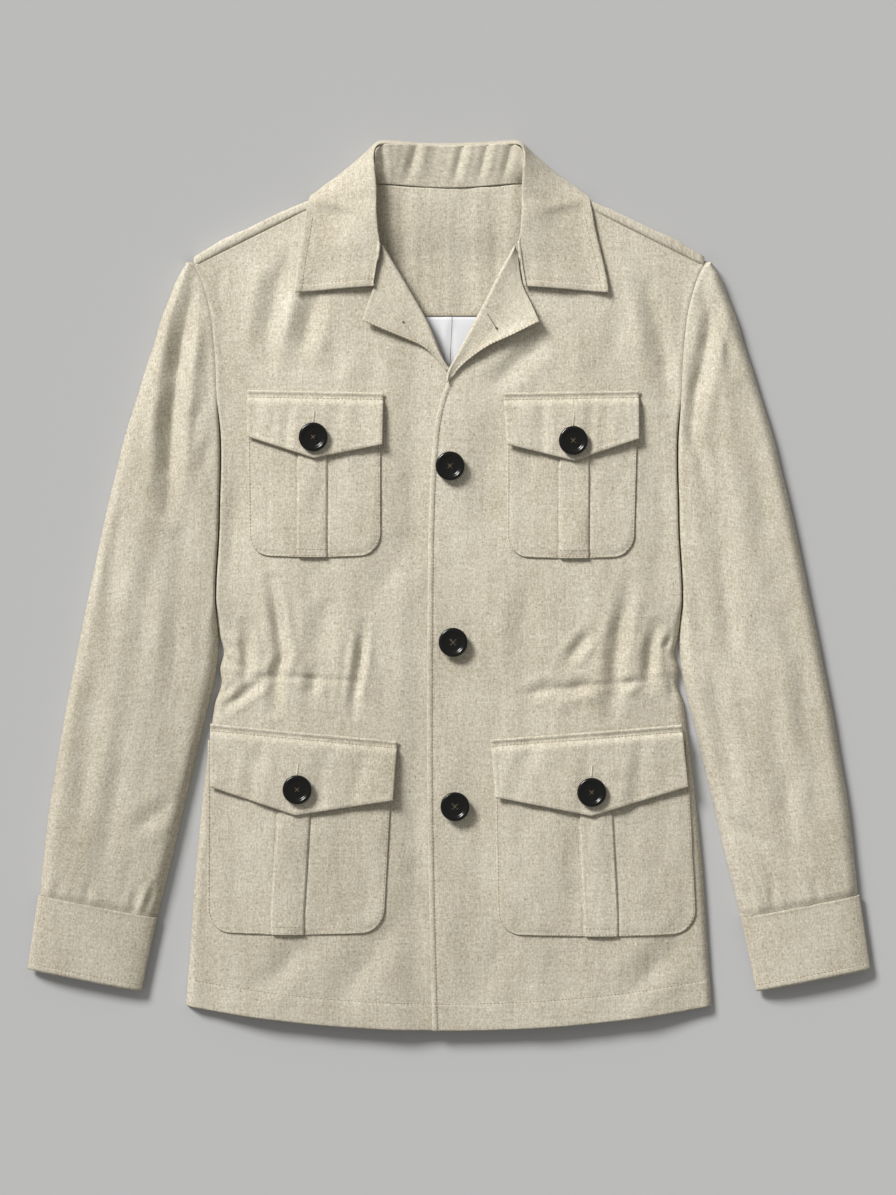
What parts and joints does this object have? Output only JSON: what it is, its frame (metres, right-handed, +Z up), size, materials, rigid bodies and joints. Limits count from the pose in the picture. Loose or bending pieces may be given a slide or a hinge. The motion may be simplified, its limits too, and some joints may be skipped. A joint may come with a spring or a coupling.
{
  "type": "safari jacket",
  "caption": "Linen-weave safari jacket laid flat on its back, with a turned-back collar, flapped patch pockets with box pleats, a gathered waist and dark buttons.",
  "frame": {"origin": "middle of the garment's box, on the surface that it lies on", "axes": "+Y towards the collar, +X towards the wearer's left, +Z up off the surface, out of the fronts"},
  "size_m": [0.7488, 0.7889, 0.0253],
  "materials": {
    "linen_cloth": "oatmeal linen and cotton plain weave with slubs, matt",
    "lining_cloth": "white lining, smooth with a slight sheen",
    "button_horn": "black, glossy, with a raised rim and four holes"
  },
  "bodies": {
    "root": {"back": "linen_cloth", "back_neck_facing": "linen_cloth", "lining": "lining_cloth", "front_right": "linen_cloth", "front_left": "linen_cloth", "sleeve_top_right": "linen_cloth", "sleeve_top_left": "linen_cloth", "sleeve_under_right": "linen_cloth", "sleeve_under_left": "linen_cloth", "cuff_right": "linen_cloth", "cuff_left": "linen_cloth", "facing_right": "linen_cloth", "facing_left": "linen_cloth", "collar": "linen_cloth", "collar_stand": "linen_cloth", "chest_pocket_right": "linen_cloth", "chest_pocket_left": "linen_cloth", "lower_pocket_right": "linen_cloth", "lower_pocket_left": "linen_cloth", "chest_flap_right": "linen_cloth", "chest_flap_left": "linen_cloth", "lower_flap_right": "linen_cloth", "lower_flap_left": "linen_cloth", "front_button_1": "button_horn", "front_button_2": "button_horn", "front_button_3": "button_horn", "chest_button_right": "button_horn", "chest_button_left": "button_horn", "lower_button_right": "button_horn", "lower_button_left": "button_horn"}
  },
  "joints": []
}
